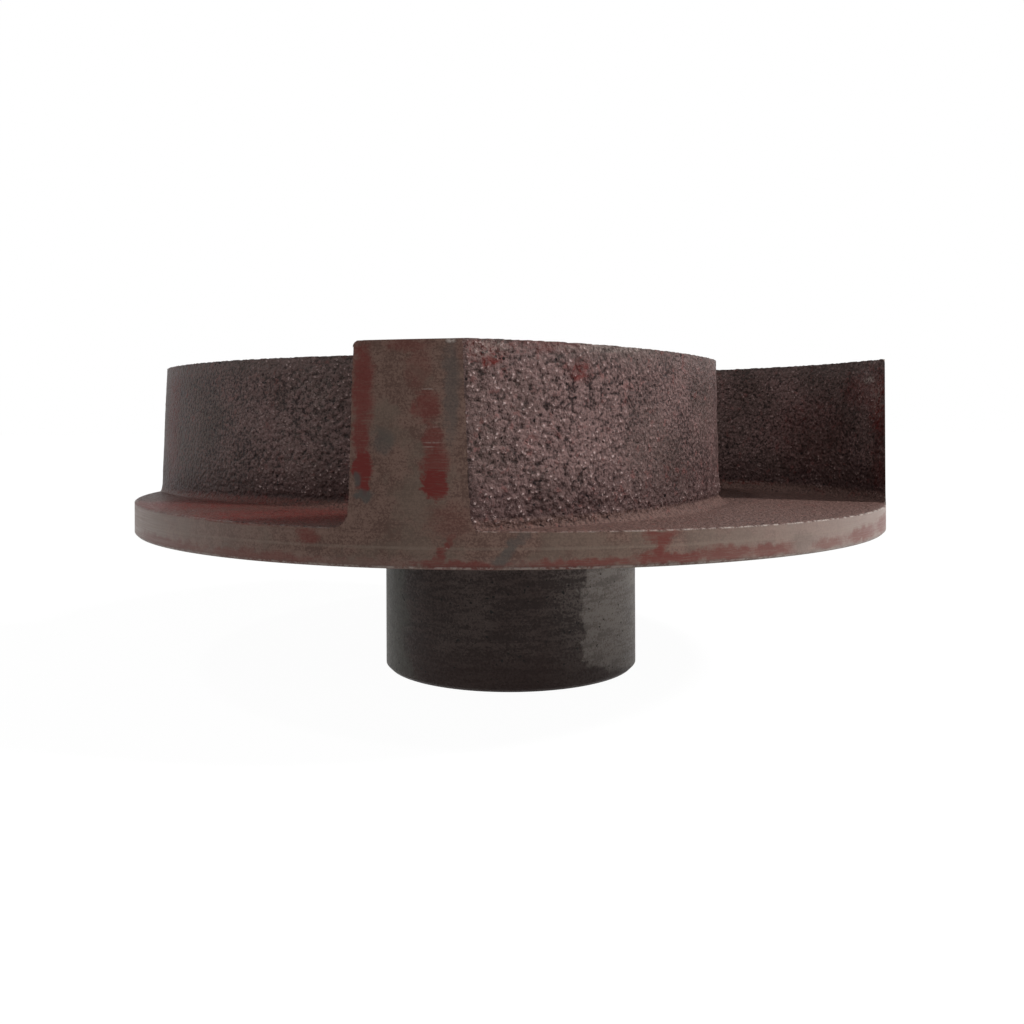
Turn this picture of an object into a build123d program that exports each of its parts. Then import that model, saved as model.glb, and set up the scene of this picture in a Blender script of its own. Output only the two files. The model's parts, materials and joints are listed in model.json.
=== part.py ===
from build123d import *

import math
import os

# Semi-open pump impeller: one grey-iron casting, sand cast, then turned, bored and keyed.
# A back plate carries four backward-curved vanes on its upper side and a long hub on its
# lower side. Units are millimetres and degrees. The Z axis is the shaft axis. The origin is
# the centre of the hub's end face, and +Z points along the shaft towards the vanes.

# --- turned sizes ---
outer_radius = 89.0            # over the plate's rim and the vane tips alike
hub_radius = 31.2
hub_length = 35.8              # from the hub's end face to the underside of the plate
rim_thickness = 6.4            # of the plate
rim_edge_chamfer = 0.4         # only on the lower edge of the rim
hub_end_chamfer = 0.8
blank_radius = 112.0           # of the casting before its rim and vane tips are turned off

# --- cast body ---
hub_root_fillet = 4.0          # between the hub and the plate's underside
nose_height = 13.0             # of the boss between the vanes, above the plate
nose_face_radius = 24.5        # the end washer seats on the nose's face
nose_edge_chamfer = 1.0
nose_foot_radius = 33.0        # where the sweep of the nose's side runs out on the plate

# --- vanes in plan: the convex face is a slow outer arc that runs on into a tighter one ---
vane_count = 4
outlet_angle = 26.5            # between a vane and the circumference, at the rim
outer_arc_radius = 91.0        # from the rim in to the join
arc_join_radius = 57.0         # distance of the join of the two arcs from the shaft axis
inner_arc_radius = 50.0        # from the join in to the leading edge
inner_arc_sweep = 40.0         # degrees, from the join in to the leading edge
tip_overrun = 18.0             # degrees of the outer arc past the rim, which are turned off
first_tip_azimuth = -95.1      # of the convex corner of the first vane's tip, from +X

# --- vanes in section ---
vane_height = 32.0             # above the plate
vane_thickness = 8.5           # at the top edge
vane_draft = 1.0               # each side, so that a vane is thickest at the plate
vane_root_depth = 3.0          # how far a vane's solid runs down into the plate
foot_fillet = 2.5              # between vane and plate
foot_flats = 4                 # the fillet's arc is drawn as this many flats

# --- bore and keyway ---
bore_diameter = 31.75          # a 1 1/4 inch shaft
bore_chamfer = 1.0
keyway_width = 6.35            # a 1/4 inch key
keyway_depth = 3.2             # below the wall of the bore

# --- heights and radii worked out from the sizes above ---
plate_top = hub_length + rim_thickness
vane_top = plate_top + vane_height
nose_face = plate_top + nose_height
bore_radius = bore_diameter / 2
up = Vector(0, 0, 1)
on_floor = (Align.CENTER, Align.CENTER, Align.MIN)


def round_body():
    """Hub, plate and nose: one section revolved about the shaft axis, out to the blank's rim."""
    hub_root = (hub_radius, hub_length)
    nose_foot = (nose_foot_radius, plate_top)
    nose_side = (nose_face_radius, nose_face - nose_edge_chamfer)
    nose_sweep = Bezier(nose_side, (nose_face_radius, plate_top), nose_foot)
    straight_part = Polyline(
        nose_foot,
        (blank_radius, plate_top),
        (blank_radius, hub_length),
        hub_root,
        (hub_radius, 0),
        (0, 0),
        (0, nose_face),
        (nose_face_radius - nose_edge_chamfer, nose_face),
        nose_side,
    )
    section = make_face(nose_sweep + straight_part)
    section = fillet(section.vertices().sort_by_distance(hub_root)[0], hub_root_fillet)
    return revolve(Plane.XZ * section, Axis.Z)


def convex_line():
    """A vane's convex face seen along the shaft, at its top edge, from outside the rim inwards.

    It crosses the rim on the +X axis at the outlet angle, and its two arcs are tangent. The lathe
    turns off what lies outside the rim.
    """
    inward = Vector(0, 1).rotate(Axis.Z, outlet_angle)
    join_circle = CenterArc((0, 0), arc_join_radius, 0, 360)
    overrun = JernArc((outer_radius, 0), -inward, outer_arc_radius, -tip_overrun)
    outer = JernArc(overrun @ 1, -(overrun % 1), outer_arc_radius, join_circle)
    inner = JernArc(outer @ 1, outer % 1, inner_arc_radius, inner_arc_sweep)
    return outer + inner


def half_section():
    """Half of a vane's upright section, x from the vane's middle and y from the plate's face.

    The side is drawn with its draft, and the foot fillet is tangent to the side and the plate.
    """
    draft = math.radians(vane_draft)
    foot_start = foot_fillet * (1 - math.sin(draft))
    side_foot = (vane_thickness / 2 + (vane_height - foot_start) * math.tan(draft), foot_start)
    arc = JernArc(side_foot, (math.sin(draft), -math.cos(draft)), foot_fillet, 90 - vane_draft)
    foot = [arc @ (index / foot_flats) for index in range(foot_flats + 1)]
    foot_edge = foot[-1].X
    outline = Polyline(
        (0, vane_height),
        (vane_thickness / 2, vane_height),
        *foot,
        (foot_edge, -vane_root_depth),
        (0, -vane_root_depth),
        close=True,
    )
    return make_face(outline)


def drafted_vane():
    """The section carried along the vane's line, with the half of it turned round its inner end."""
    line = Pos(0, 0, plate_top) * convex_line()
    half = half_section()
    to_middle = Pos(vane_thickness / 2, 0)
    outer_end, inner_end = [
        Plane(line @ place, x_dir=up.cross(line % place), z_dir=line % place) * to_middle
        for place in (0, 1)
    ]
    blade = sweep(outer_end * (half + mirror(half, Plane.YZ)), path=line)
    leading_edge = revolve(inner_end * half, Axis(inner_end.position, up), -180)
    return Rot(0, 0, first_tip_azimuth) * (blade + leading_edge)


def casting():
    """The body with its ring of vanes, as it comes from the sand."""
    vane = drafted_vane()
    return round_body() + [Rot(0, 0, 360 / vane_count * index) * vane for index in range(vane_count)]


def turned(blank):
    """The casting turned to its outer radius, which brings the vane tips flush with the rim."""
    whole = blank & Cylinder(outer_radius, vane_top, align=on_floor)
    circles = whole.edges().filter_by(GeomType.CIRCLE)
    whole = chamfer(circles.sort_by_distance((outer_radius, 0, hub_length))[0], rim_edge_chamfer)
    circles = whole.edges().filter_by(GeomType.CIRCLE)
    return chamfer(circles.sort_by_distance((hub_radius, 0, 0))[0], hub_end_chamfer)


def bored(blank):
    """The shaft bore, its chamfered mouths and the keyway, cut right through hub and nose."""
    whole = blank - Cylinder(bore_radius, nose_face, align=on_floor)
    mouths = [whole.edges().sort_by_distance((bore_radius, 0, z))[0] for z in (0, nose_face)]
    whole = chamfer(mouths, bore_chamfer)
    keyway_reach = bore_radius + keyway_depth
    keyway = Box(keyway_width, keyway_reach, nose_face, align=(Align.CENTER, Align.MIN, Align.MIN))
    return whole - keyway


impeller = bored(turned(casting()))

os.makedirs("parts", exist_ok=True)
export_step(impeller, "parts/impeller.step")
print("impeller", round(impeller.volume), "mm3", impeller.bounding_box())
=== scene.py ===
# %% [markdown]
# # A cast-iron pump impeller
#
# This notebook dresses one real part: the impeller of a small self-priming pump. It is a single
# casting, poured in a sand mould and then turned, bored and keyed. The CAD model gives its sizes,
# and every length below is in millimetres until it goes into a mesh, where it becomes metres.
#
# What makes such a part look real is the difference between two kinds of surface. The faces that
# the sand shaped are rough, primed dark red-brown and a little glossy. The faces that the lathe
# cut are flat, finely lined and dull. So each mesh keeps those faces apart as zones.

import json

import bpy
import numpy as np
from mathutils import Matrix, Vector


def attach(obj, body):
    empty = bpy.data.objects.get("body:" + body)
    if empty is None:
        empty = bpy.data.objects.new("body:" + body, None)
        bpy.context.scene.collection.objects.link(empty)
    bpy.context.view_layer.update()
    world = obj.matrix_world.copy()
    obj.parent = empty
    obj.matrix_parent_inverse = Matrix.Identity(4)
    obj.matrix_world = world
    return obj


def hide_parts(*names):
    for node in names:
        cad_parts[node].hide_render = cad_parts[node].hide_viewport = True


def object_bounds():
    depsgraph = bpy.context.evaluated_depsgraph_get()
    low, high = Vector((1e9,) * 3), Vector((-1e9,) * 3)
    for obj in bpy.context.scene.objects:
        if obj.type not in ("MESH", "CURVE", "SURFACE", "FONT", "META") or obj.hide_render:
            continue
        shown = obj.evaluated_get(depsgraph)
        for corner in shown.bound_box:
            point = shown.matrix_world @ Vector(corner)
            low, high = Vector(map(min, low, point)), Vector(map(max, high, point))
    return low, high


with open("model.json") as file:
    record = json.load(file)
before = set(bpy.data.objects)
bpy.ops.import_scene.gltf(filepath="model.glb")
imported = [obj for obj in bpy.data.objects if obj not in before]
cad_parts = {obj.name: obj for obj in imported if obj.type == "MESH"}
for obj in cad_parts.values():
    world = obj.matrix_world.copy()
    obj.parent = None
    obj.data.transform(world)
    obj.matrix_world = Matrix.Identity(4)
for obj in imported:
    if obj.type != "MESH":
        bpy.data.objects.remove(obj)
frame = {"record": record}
cad_low, cad_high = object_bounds()
mounts = {mount["name"]: mount for mount in frame["record"]["mounts"]}

MM = 0.001
outer_radius = (cad_high.x - cad_low.x) / 2 / MM
vane_top = cad_high.z / MM
nose_face = mounts["nose_face"]["pos_m"][2] / MM
bore_radius = mounts["bore"]["dims"]["r_mm"]
print("outer radius", round(outer_radius, 2), "top", round(vane_top, 2), "nose face", nose_face)

# %% Sizes that the drawing gives
plate_underside = 35.8
plate_top = 42.2
hub_radius = 31.2
hub_root_fillet = 4.0
nose_face_radius = 24.5
nose_foot_radius = 33.0
edge_chamfer = 1.0
hub_end_chamfer = 0.8
rim_edge_chamfer = 0.4
keyway_half_width = 6.35 / 2
keyway_reach = bore_radius + 3.2

vane_count = 4
vane_height = vane_top - plate_top
vane_half_thickness = 8.5 / 2
vane_draft = np.radians(1.0)
foot_fillet = 2.5
outlet_angle = np.radians(26.5)
outer_arc_radius = 91.0
join_radius = 57.0
inner_arc_radius = 50.0
inner_arc_sweep = np.radians(40.0)
first_tip_azimuth = np.radians(-95.1)
print(vane_count, "vanes,", round(vane_height, 2), "mm high on a plate whose top is at", plate_top)

# %% [markdown]
# ## The line of a vane
#
# Seen along the shaft, a vane is two arcs that run on into each other. The slow outer arc leaves
# the rim at the outlet angle, and the tighter inner one ends at the eye of the pump. We could draw
# them as a curve object, but a formula is shorter: a point on either arc is the arc's centre plus
# its radius in the direction of an angle. The same angles serve both faces of the vane, because
# both faces are the middle line moved out along that direction.

# %% Centres and angles of the two arcs


def direction(angle):
    """Unit vector in plan at an angle from X, for one angle or an array of them."""
    return np.stack([np.cos(angle), np.sin(angle)], axis=-1)


outer_centre = np.array([outer_radius, 0.0]) - outer_arc_radius * direction(outlet_angle)
centre_distance = np.hypot(*outer_centre)
centre_azimuth = np.arctan2(outer_centre[1], outer_centre[0])


def angle_at_radius(arc_radius, radius):
    """Angle on the outer arc, at that arc radius, where it is the given distance from the shaft.

    The law of cosines gives the angle between the centre's own azimuth and the point.
    """
    cosine = (radius**2 - centre_distance**2 - arc_radius**2) / (2 * arc_radius * centre_distance)
    return centre_azimuth + np.arccos(cosine)


join_angle = angle_at_radius(outer_arc_radius, join_radius)
inner_centre = outer_centre + (outer_arc_radius - inner_arc_radius) * direction(join_angle)
end_angle = join_angle + inner_arc_sweep
outer_middle_radius = outer_arc_radius - vane_half_thickness
inner_middle_radius = inner_arc_radius - vane_half_thickness
end_middle = inner_centre + inner_middle_radius * direction(end_angle)
print("arcs meet at", round(np.degrees(join_angle), 1), "degrees, and end at", end_middle.round(1))

# %% [markdown]
# ## The skin that sand leaves
#
# A sand mould prints its grains on the iron. Blender's own noise textures could push the surface
# about with a Displace modifier, but it is easier to place coarse and smooth areas when the height
# is computed here: a bed of rounded grains, one in each cell of a jittered lattice, over slow
# swells. Both repeat exactly on every run, because their random tables have fixed seeds.

# %% Lattice patterns
TABLE_SIZE = 128


def random_table(seed):
    """A square table of three random numbers from 0 to 1, looked up by lattice cell."""
    return np.random.default_rng(seed).random((TABLE_SIZE, TABLE_SIZE, 3))


def smooth_step(value, low, high):
    """0 below low, 1 above high and an S-curve between."""
    share = np.clip((value - low) / (high - low), 0, 1)
    return share**2 * (3 - 2 * share)


def grains(across, along, seed):
    """Height of a bed of rounded grains about one unit wide.

    Each lattice cell holds one point at a random place. The height is one minus the distance to
    the nearest point, times that grain's own random size.
    """
    table = random_table(seed)
    cell = np.stack([np.floor(across), np.floor(along)], axis=-1).astype(int)
    nearest = np.full(across.shape, 9.0)
    size = np.ones(across.shape)
    for step in np.ndindex(3, 3):
        neighbour = cell + np.array(step) - 1
        looked_up = table[neighbour[..., 0] % TABLE_SIZE, neighbour[..., 1] % TABLE_SIZE]
        gap = np.hypot(
            neighbour[..., 0] + looked_up[..., 0] - across,
            neighbour[..., 1] + looked_up[..., 1] - along,
        )
        closer = gap < nearest
        nearest = np.where(closer, gap, nearest)
        size = np.where(closer, looked_up[..., 2], size)
    return np.clip(1 - nearest, 0, 1) * (0.35 + 0.65 * size)


def swells(across, along, seed):
    """Slow waves from -1 to 1: random heights at the lattice points, blended smoothly between."""
    table = random_table(seed)[..., 0]
    low_across, low_along = np.floor(across).astype(int), np.floor(along).astype(int)
    part_across = smooth_step(across - low_across, 0, 1)
    part_along = smooth_step(along - low_along, 0, 1)

    def corner(right, up):
        return table[(low_across + right) % TABLE_SIZE, (low_along + up) % TABLE_SIZE]

    lower = corner(0, 0) * (1 - part_across) + corner(1, 0) * part_across
    upper = corner(0, 1) * (1 - part_across) + corner(1, 1) * part_across
    return (lower * (1 - part_along) + upper * part_along) * 2 - 1


def sand_relief(across, along, coarseness, seed):
    """Height in millimetres of a sand-cast skin, at surface coordinates in millimetres.

    Two sizes of grain are added up over a slow swell. The larger grains are laid out on
    coordinates that swells have bent a little, so that no rows of cells show.
    """
    warp_across = across + 0.5 * swells(across / 1.7, along / 1.7, seed + 1)
    warp_along = along + 0.5 * swells(across / 1.7, along / 1.7, seed + 2)
    large = grains(warp_across / 1.25, warp_along / 1.0, seed + 3)
    small = grains(warp_across / 0.7, warp_along / 0.7, seed + 4)
    slow = swells(across / 6, along / 6, seed + 5)
    return coarseness * (0.50 * large + 0.22 * small) + 0.05 * slow


sample = sand_relief(*np.mgrid[0:20:0.5, 0:20:0.5], 1.0, 1)
print("full coarseness stands out up to", sample.max().round(2), "mm")


# %% [markdown]
# ## From a grid of points to a mesh
#
# Every surface here is a grid of points worked out as one numpy array, so it is quickest to hand
# the whole arrays to Blender with foreach_set. A zone number on each face says what it is: where
# two zones meet, the edge is marked sharp, so that a turned face stays crisp against a rough one.

# %% Mesh helpers
cast, turned_rim, turned_face, hub_skin, bore_wall, turned_tip = range(6)


def grid_faces(numbers):
    """Four-cornered faces between the neighbouring points of a grid of vertex numbers."""
    corners = numbers[:-1, :-1], numbers[:-1, 1:], numbers[1:, 1:], numbers[1:, :-1]
    return np.stack([corner.ravel() for corner in corners], axis=-1)


def signed_volume(points, faces):
    """Six times the volume that the faces enclose, above zero where they face outwards."""
    first = points[faces[:, 0]]
    total = 0.0
    for second, third in ((1, 2), (2, 3)):
        if third < faces.shape[1]:
            cross = np.cross(points[faces[:, second]], points[faces[:, third]])
            total += np.einsum("ij,ij->i", first, cross).sum()
    return total


def put_in_scene(name, data):
    """An object at the origin that shows the data."""
    thing = bpy.data.objects.new(name, data)
    bpy.context.scene.collection.objects.link(thing)
    return thing


def make_piece(name, points, relief, patches, materials):
    """A mesh object from points in millimetres and patches of faces, each with its zone number.

    The relief of each point, from 0 in a hollow to 1 on a grain, is kept for the paint.
    """
    points = points.reshape(-1, 3) * MM
    if sum(signed_volume(points, faces) for faces, zone in patches) < 0:
        patches = [(faces[:, ::-1], zone) for faces, zone in patches]
    corners = np.concatenate([faces.ravel() for faces, zone in patches])
    sizes = np.concatenate([np.full(len(faces), faces.shape[1]) for faces, zone in patches])
    zones = np.concatenate([np.full(len(faces), zone) for faces, zone in patches])
    mesh = bpy.data.meshes.new(name)
    mesh.vertices.add(len(points))
    mesh.vertices.foreach_set("co", points.ravel())
    mesh.loops.add(len(corners))
    mesh.loops.foreach_set("vertex_index", corners)
    mesh.polygons.add(len(sizes))
    mesh.polygons.foreach_set("loop_start", np.cumsum(sizes) - sizes)
    mesh.polygons.foreach_set("loop_total", sizes)
    mesh.polygons.foreach_set("material_index", zones)
    mesh.polygons.foreach_set("use_smooth", np.ones(len(sizes), bool))
    mesh.update(calc_edges=True)
    mark_zone_borders(mesh, np.repeat(zones, sizes))
    mesh.attributes.new("relief", "FLOAT", "POINT")
    mesh.attributes["relief"].data.foreach_set("value", relief.ravel())
    for material in materials:
        mesh.materials.append(material)
    piece = put_in_scene(name, mesh)
    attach(piece, "root")
    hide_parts("impeller")
    print(name, len(points), "points,", int((sizes - 2).sum()), "triangles")
    return piece


def mark_zone_borders(mesh, corner_zones):
    """Marks as sharp each edge whose two faces are in different zones."""
    corner_edges = np.empty(len(mesh.loops), int)
    mesh.loops.foreach_get("edge_index", corner_edges)
    lowest = np.full(len(mesh.edges), corner_zones.max())
    highest = np.zeros(len(mesh.edges), int)
    np.minimum.at(lowest, corner_edges, corner_zones)
    np.maximum.at(highest, corner_edges, corner_zones)
    mesh.attributes.new("sharp_edge", "BOOLEAN", "EDGE")
    mesh.attributes["sharp_edge"].data.foreach_set("value", lowest != highest)

# %% [markdown]
# ## A vane
#
# Each vane is a wall that stands on the plate: thickest at its foot, with a fillet where it meets
# the plate, and rounded at its inner end. The lathe trimmed its outer end flush with the rim.
# We could cut this out of a swept solid, but then the sand relief would need a remesh. Instead
# the wall is a stack of closed rings, one above the other. A ring runs in along the convex flank,
# round the leading edge, out along the concave flank and across the turned tip.

# %% Heights and half thicknesses of the rings
ring_spacing, foot_rings = 0.34, 11
skirt_depth = 0.6
casting_tilt = 0.0073


def tilt(points):
    """How far the cast plate stands above its nominal height: a slight lean towards +X."""
    return -casting_tilt * points[..., 0]


def vane_section():
    """Heights above the plate, half thicknesses, foot reaches and outward slopes, foot to top.

    The half thickness grows downwards in proportion by the tangent of the draft. The foot is an
    arc tangent to the plate and the side, and its reach is how far it stands out from the side.
    """
    turn = np.linspace(0, np.pi / 2 - vane_draft, foot_rings)
    foot_height = foot_fillet * (1 - np.cos(turn))
    side_rows = int((vane_height - foot_height[-1]) / ring_spacing)
    side_height = np.linspace(foot_height[-1], vane_height, side_rows)[1:]
    height = np.concatenate([[-skirt_depth], foot_height, side_height])
    half = vane_half_thickness + (vane_height - np.maximum(height, 0)) * np.tan(vane_draft)
    foot = foot_fillet * (1 - np.sin(turn))
    foot = np.concatenate([foot[:1], foot, np.zeros(len(side_height))])
    slope = np.concatenate([[0], turn, np.full(len(side_height), np.pi / 2 - vane_draft)])
    return [values[:, None] for values in (height, half, foot, slope)]


ring_height, ring_half, ring_foot, ring_slope = vane_section()
print(len(ring_height), "rings, half thickness at most", ring_half.max().round(2))

# %% One flank of a vane
outer_columns, inner_columns, edge_columns = 215, 95, 22
column_count = outer_columns + inner_columns + edge_columns


def on_circle(centre, radius, angle):
    """The centre plus the radius in the direction of the angle."""
    return centre + radius[..., None] * direction(angle)


def flank(side, foot_at_tip, swelling=(0, 0)):
    """Plan points and outward normals of a flank at every ring, from the tip to the leading edge.

    side is 1 for the convex flank and -1 for the concave one. A ring's reach is its half thickness
    plus its foot, and the foot grows to its full size over the outer arc. On both arcs a point is
    the arc's centre plus, in the direction of the angle, the middle radius and side times reach.
    Round the leading edge the angle turns on by a quarter about the end of the middle line.
    The swelling, at the top and at the foot, thickens the tip and fades over the outer arc.
    """
    inward = smooth_step(np.arange(column_count), 0, outer_columns)
    at_top, at_foot = swelling
    swollen = at_foot + (at_top - at_foot) * ring_height / vane_height
    reach = ring_half + ring_foot * (foot_at_tip + (1 - foot_at_tip) * inward)
    reach = reach + swollen * (1 - inward)
    joins = outer_columns, outer_columns + inner_columns
    outer_reach, inner_reach, edge_reach = np.split(reach, joins, axis=1)
    start = angle_at_radius(outer_middle_radius + side * reach[:, :1], outer_radius)
    outer_angle = start + (join_angle - start) * np.linspace(0, 1, outer_columns, endpoint=False)
    inner_share = np.linspace(0, 1, inner_columns, endpoint=False) + 0 * inner_reach
    inner_angle = join_angle + inner_arc_sweep * inner_share
    quarter = np.linspace(0, np.pi / 2, edge_columns) + 0 * edge_reach
    edge_angle = end_angle + (quarter if side > 0 else np.pi - quarter)
    points = [
        on_circle(outer_centre, outer_middle_radius + side * outer_reach, outer_angle),
        on_circle(inner_centre, inner_middle_radius + side * inner_reach, inner_angle),
        on_circle(end_middle, edge_reach, edge_angle),
    ]
    normals = [side * direction(outer_angle), side * direction(inner_angle), direction(edge_angle)]
    return np.concatenate(points, axis=1), np.concatenate(normals, axis=1)


def distance_along(points):
    """Distance in plan from the first point of each row to every other point of that row."""
    steps = np.hypot(*np.moveaxis(np.diff(points, axis=1), -1, 0))
    return np.concatenate([np.zeros((len(points), 1)), np.cumsum(steps, axis=1)], axis=1)


# %% A flank with its sand
flank_length = distance_along(flank(1, 1)[0]).max()
chip_depth = 0.12
smooth_relief = 0.39
print("a flank is", round(flank_length, 1), "mm long")


def flank_points(side, foot_at_tip, swelling, coarseness, sag, seed):
    """A flank in space: its plan, its heights, and the sand's relief pushed out along its normal.

    The relief also comes back on its own, from 0 to 1, for the paint to follow.
    """
    plan, normals = flank(side, foot_at_tip, swelling)
    along = distance_along(plan)
    around = along if side > 0 else 2 * flank_length - along
    height = ring_height * (1 - sag(along) / vane_height)
    foot_line = foot_fillet * (0.4 + 0.7 * smooth_step(along, 0, 60))
    above_foot = smooth_step(height, foot_line - 0.7, foot_line + 0.2)
    rough = coarseness(along, height) * (0.12 + 0.88 * above_foot)
    relief = sand_relief(around, height, rough, seed) * smooth_step(height, -0.3, 0.5)
    upward = np.cos(ring_slope) + 0 * along
    outward = [normals * np.sin(ring_slope)[..., None], upward[..., None]]
    points = np.concatenate([plan, plate_top + height[..., None]], axis=-1)
    points = points + np.concatenate(outward, axis=-1) * relief[..., None]
    radius = np.hypot(points[..., 0], points[..., 1])
    trim = np.minimum(outer_radius / radius, 1)
    trim[:, 0] = outer_radius / radius[:, 0]
    points[..., :2] *= trim[..., None]
    chips = chip_depth * smooth_step(grains(around[-1] / 1.1, height[-1], seed + 6), 0.15, 0.6)
    points[-1, :, 2] = plate_top + height[-1] - chips
    paint = smooth_step(relief / np.maximum(rough, 0.3), -0.05, 0.46)
    return points, smooth_relief + np.minimum(rough, 1) * (paint - smooth_relief)


# %% The turned tip and the lids
tip_columns, bent_columns = 21, 14
tip_share = (1 - np.cos(np.linspace(0, np.pi, tip_columns + 2)[1:-1])) / 2


def across_tip(concave_edge, convex_edge):
    """Points between the tip's two corners at every ring, on the cylinder that the lathe cut."""
    share = tip_share
    azimuth = [np.arctan2(edge[:, 1], edge[:, 0])[:, None] for edge in (concave_edge, convex_edge)]
    azimuth = azimuth[0] * (1 - share) + azimuth[1] * share
    height = concave_edge[:, 2:] * (1 - share) + convex_edge[:, 2:] * share
    return np.concatenate([outer_radius * direction(azimuth), height[..., None]], axis=-1)


def lid(convex, concave, tip):
    """Points strictly between the two flanks along one ring, to close a vane's top or bottom.

    Each is on the straight line between facing flank points, and near the tip they are pulled
    over on to the curve of the tip.
    """
    share = tip_share[::-1, None]
    straight = convex[1:-1, None] * share + concave[1:-1, None] * (1 - share)
    bulge = tip[::-1] - (convex[0] * share + concave[0] * (1 - share))
    fade = 1 - smooth_step(np.arange(1, len(convex) - 1), 0, bent_columns)
    return straight + bulge[None] * fade[:, None, None]


def vane_patches(ring_size, row_count):
    """Faces of a vane: rings of flank and tip, then the top and bottom lids, with their zones.

    The numbers of a lid's own points follow those of the rings. Its border is borrowed from the
    ring: convex flank, concave flank and tip.
    """
    rings = np.arange(row_count * ring_size).reshape(row_count, ring_size)
    closed = np.concatenate([rings, rings[:, :1]], axis=1)
    tip_start = 2 * column_count - 2
    flanks, tip = closed[:, : tip_start + 1], closed[:, tip_start:]
    patches = [(grid_faces(flanks), cast), (grid_faces(tip), turned_tip)]
    inside = (column_count - 2) * tip_columns
    top, bottom = (-1, rings.size, turned_face, -1), (0, rings.size + inside, cast, 1)
    for row, first, zone, turn in (top, bottom):
        ring = rings[row]
        convex, concave = ring[: column_count - 1], ring[tip_start : column_count - 1 : -1]
        middle = first + np.arange(inside).reshape(column_count - 2, tip_columns)
        middle = np.concatenate([ring[: tip_start : -1][None], middle])
        sheet = np.concatenate([convex[:, None], middle, concave[:, None]], axis=1)
        apex = np.full(sheet.shape[1] - 1, ring[column_count - 1])
        fan = np.stack([sheet[-1, :-1], apex, sheet[-1, 1:]], axis=-1)
        patches += [(grid_faces(sheet)[:, ::turn], zone), (fan[:, ::-turn], zone)]
    return patches


# %% The whole skin of a vane
corner_rounding = 1.3
plain_relief = 0.5


def vane_skin(index, coarseness, sag, swelling):
    """Points of one whole vane in its place, its relief and its patches.

    The rings come first, then the insides of the two lids.
    """
    convex, convex_relief = flank_points(1, 0.25, swelling, coarseness, sag, 10 * index)
    concave, concave_relief = flank_points(-1, 0.65, (0, 0), coarseness, sag, 10 * index)
    tip = across_tip(concave[:, 0], convex[:, 0])
    rings = np.concatenate([convex, concave[:, -2::-1], tip], axis=1)
    tip_relief = plain_relief + 0 * tip[..., 0]
    relief = np.concatenate([convex_relief, concave_relief[:, -2::-1], tip_relief], axis=1)
    lids = [lid(convex[row], concave[row], tip[row]).reshape(-1, 3) for row in (-1, 0)]
    points = np.concatenate([rings.reshape(-1, 3), *lids])
    relief = np.append(relief.ravel(), np.full(len(points) - relief.size, plain_relief))
    azimuth = first_tip_azimuth + 2 * np.pi / vane_count * index
    turned = points[:, :1] * direction(azimuth) + points[:, 1:2] * direction(azimuth + np.pi / 2)
    points = np.concatenate([turned, points[:, 2:]], axis=1)
    points[:, 2] += tilt(points) * np.clip((vane_top - points[:, 2]) / vane_height, 0, 1)
    corner = azimuth + np.arctan2(concave[-1, 0, 1], concave[-1, 0, 0])
    from_corner = np.hypot(*(points[:, :2] - outer_radius * direction(corner)).T)
    inside = 1 - np.clip(from_corner / corner_rounding, 0, 1)
    rounding = corner_rounding * (1 - np.sqrt(1 - inside**2))
    points[:, 2] = np.minimum(points[:, 2], vane_top - rounding)
    return points, relief, vane_patches(rings.shape[1], rings.shape[0])


# %% [markdown]
# ## Plate, hub and nose
#
# The rest of the casting is round, so one closed outline, turned about the shaft, gives it all:
# nose face, plate, rim, hub and bore. A Screw modifier could turn it, but the keyway, the plate's
# sand and its slight lean all vary round the part. So this too is a grid, outline points by angles,
# and each of those is a small change to its radius or its height.

# %% The outline, from the nose face outwards and back through the bore
rim_edge_softness = 0.2
mouth_radius = bore_radius + edge_chamfer
past_keyway = keyway_reach + 1
rim_top = plate_top - 0.15
rim_bottom = plate_underside + rim_edge_chamfer


def straight(start, end, share):
    """A mix of the two ends by the share."""
    return start * (1 - share) + end * share


def nose_sweep(start, end, share):
    """A parabola, upright where it leaves the nose's side and level where it reaches the plate."""
    corner = np.array([start[0], end[1]])
    return start * (1 - share) ** 2 + end * share**2 + 2 * share * (1 - share) * corner


def hub_fillet(start, end, share):
    """The quarter circle from the plate's underside down on to the hub's side."""
    turn = share * np.pi / 2
    centre = np.array([start[0], end[1]])
    return centre + hub_root_fillet * np.concatenate([-np.sin(turn), np.cos(turn)], axis=1)


stretches = [
    # zone, radius and height where it starts, points, and how it runs on to the next start
    (turned_face, mouth_radius, nose_face, 1, straight),
    (turned_face, past_keyway, nose_face, 4, straight),
    (turned_face, nose_face_radius - edge_chamfer, nose_face, 2, straight),
    (cast, nose_face_radius, nose_face - edge_chamfer, 26, nose_sweep),
    (cast, nose_foot_radius, plate_top, 92, straight),
    (cast, outer_radius - rim_edge_softness, plate_top, 1, straight),
    (turned_rim, outer_radius, rim_top, 12, straight),
    (turned_rim, outer_radius, rim_bottom, 1, straight),
    (hub_skin, outer_radius - rim_edge_chamfer, plate_underside, 16, straight),
    (hub_skin, hub_radius + hub_root_fillet, plate_underside, 9, hub_fillet),
    (hub_skin, hub_radius, plate_underside - hub_root_fillet, 34, straight),
    (hub_skin, hub_radius, hub_end_chamfer, 2, straight),
    (turned_face, hub_radius - hub_end_chamfer, 0, 4, straight),
    (turned_face, past_keyway, 0, 1, straight),
    (bore_wall, mouth_radius, 0, 1, straight),
    (bore_wall, bore_radius, edge_chamfer, 8, straight),
    (bore_wall, bore_radius, nose_face - edge_chamfer, 1, straight),
]
zones, radii, heights, counts, runs = zip(*stretches)
starts = np.stack([radii, heights], axis=-1)
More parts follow.
